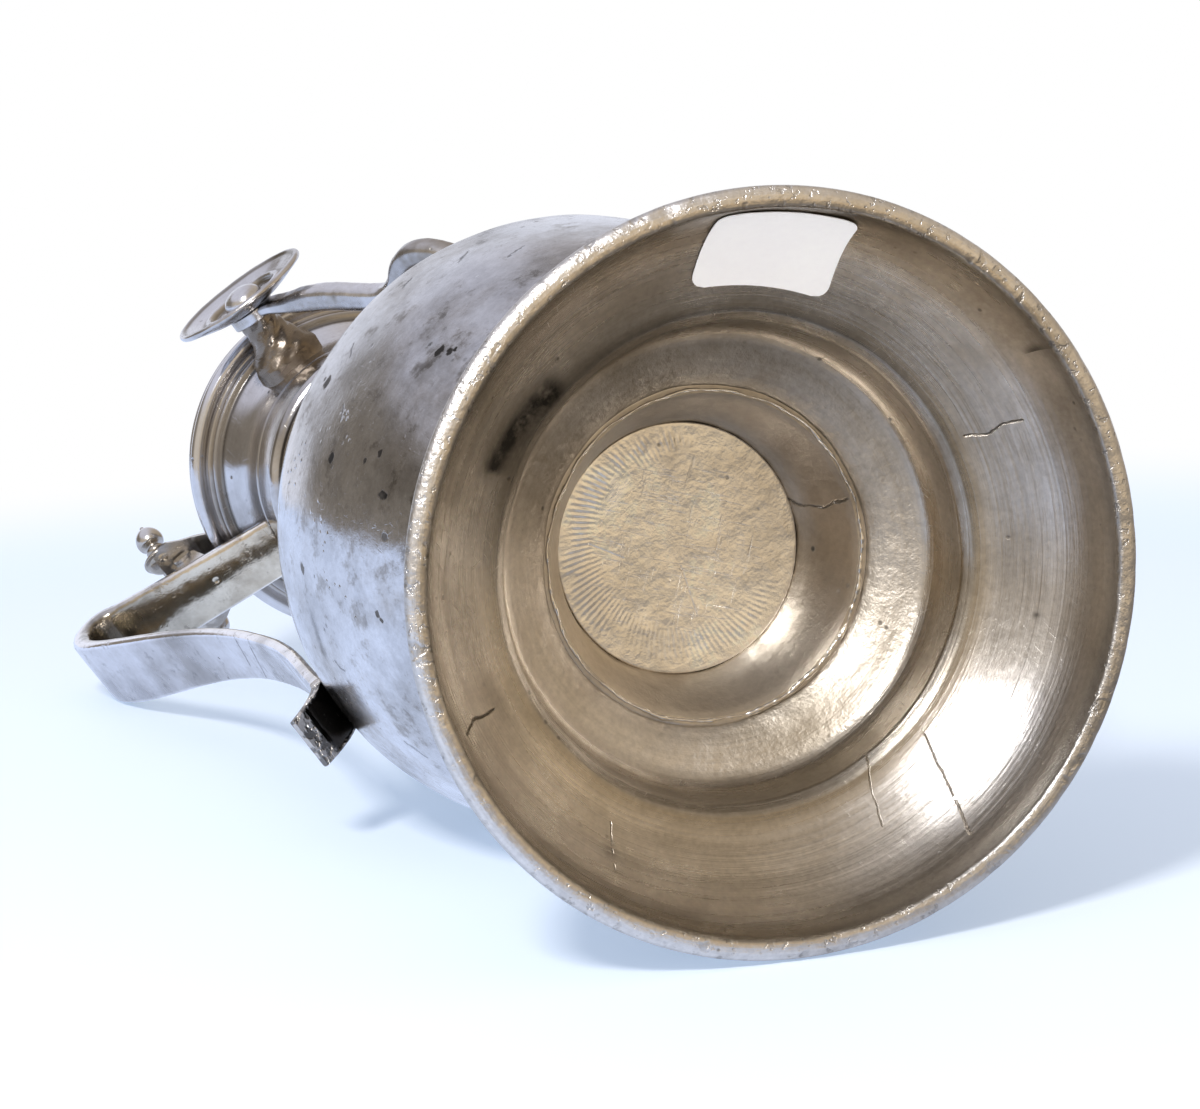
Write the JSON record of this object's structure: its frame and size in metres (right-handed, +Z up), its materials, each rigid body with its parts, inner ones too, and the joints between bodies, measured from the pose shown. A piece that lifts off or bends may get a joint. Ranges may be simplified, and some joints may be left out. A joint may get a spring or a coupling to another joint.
{
  "type": "wine flagon",
  "caption": "Antique pewter lidded wine flagon with flared hollow foot, pear-shaped belly, strap handle, two-acorn thumbpiece and swinging bail.",
  "frame": {"origin": "centre of the plane the foot rests on", "axes": "+Z up the body's axis to the lid, +X from the axis to the fixed strap handle, +Y to the visible bail pivot"},
  "size_m": [0.1433, 0.13, 0.3026],
  "materials": {
    "pewter_body": "satin, aged, fine scratches",
    "pewter_foot": "turned, satin, warm tone, pitted rim",
    "pewter_turned": "turned, satin",
    "pewter_lid": "turned, satin",
    "pewter_cast": "cast, worn",
    "pewter_dark": "dull, oxidised",
    "pewter_strap": "cast, worn, satin"
  },
  "bodies": {
    "vessel": {"foot": "pewter_foot", "vessel_bottom": "pewter_turned", "belly_lower": "pewter_body", "belly_upper": "pewter_body", "neck": "pewter_turned", "lip_collar": "pewter_turned", "handle_strap": "pewter_strap", "handle_tail": "pewter_dark", "hinge_base": "pewter_strap", "hinge_pin": "pewter_dark", "bail_lug_left": "pewter_cast", "bail_lug_right": "pewter_cast", "bail_pin_left": "pewter_dark", "bail_pin_right": "pewter_dark", "bail_disc_left": "pewter_cast", "bail_disc_right": "pewter_cast"},
    "lid": {"lid_plate": "pewter_lid", "lid_bezel": "pewter_lid", "lid_lever": "pewter_lid", "thumb_bar": "pewter_lid", "acorn_left": "pewter_lid", "acorn_right": "pewter_lid"},
    "bail": {"bail_strap": "pewter_strap"}
  },
  "joints": [
    {"name": "lid_hinge", "type": "hinge", "parent": "vessel", "child": "lid", "pos_m": [0.0455, 0, 0.288], "axis": [0, 1, 0], "range_deg": [0, 50]},
    {"name": "bail_swing", "type": "hinge", "parent": "vessel", "child": "bail", "pos_m": [0, 0, 0.2714], "axis": [0, 1, 0], "range_deg": [0, 214]}
  ]
}
